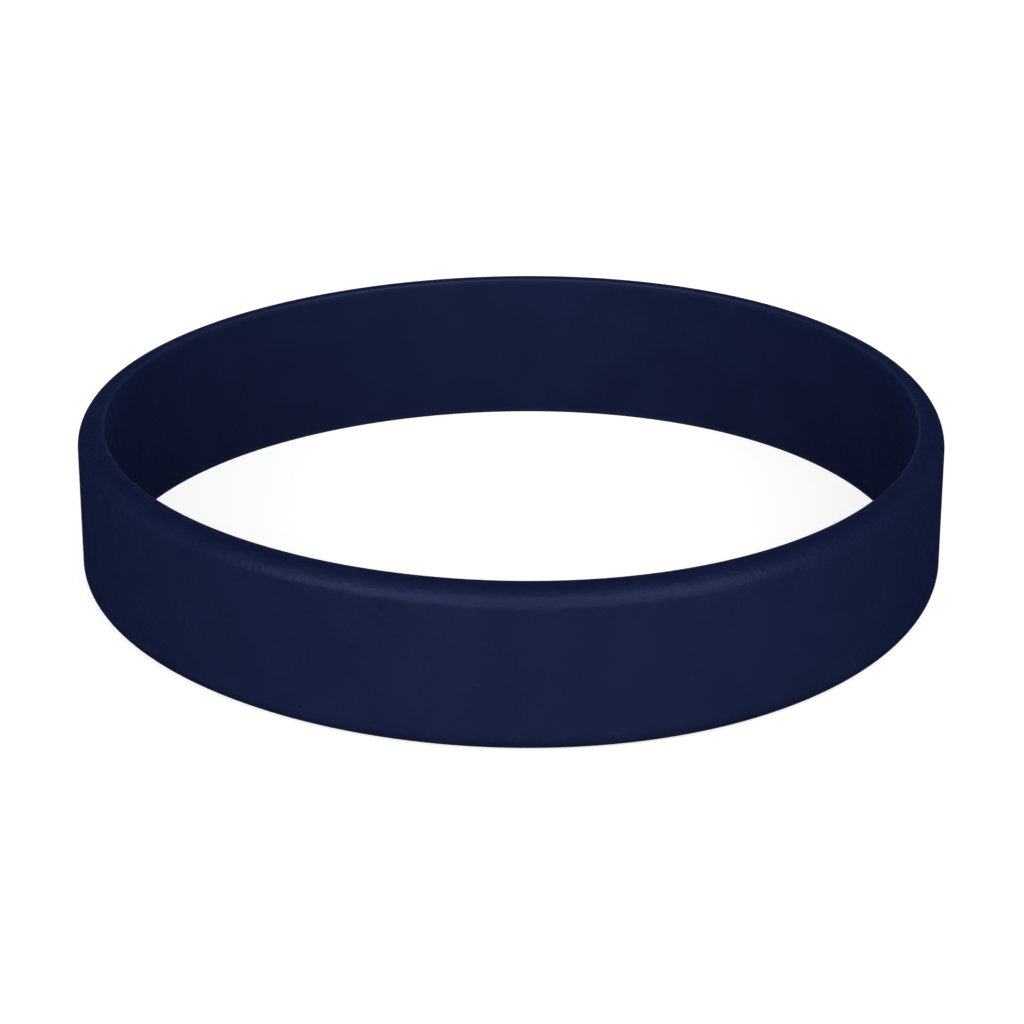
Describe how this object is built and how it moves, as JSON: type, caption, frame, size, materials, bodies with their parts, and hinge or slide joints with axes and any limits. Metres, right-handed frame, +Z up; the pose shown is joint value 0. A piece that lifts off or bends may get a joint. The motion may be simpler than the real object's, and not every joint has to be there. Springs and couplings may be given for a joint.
{
  "type": "silicone wristband",
  "caption": "Plain moulded silicone wristband: a closed, stretchy loop with a flat outer face and softly rounded outer edges, worn round the wrist.",
  "frame": {"origin": "centre of the band's box, on the surface that it lies on, which its lower edge rests on", "axes": "+Z up through the loop, along the wrist; +X to the right and -Y towards the viewer in the reference view"},
  "size_m": [0.065, 0.0676, 0.012],
  "materials": {
    "silicone": "matte moulded silicone rubber, dark navy blue"
  },
  "bodies": {
    "root": {"band": "silicone"}
  },
  "joints": []
}
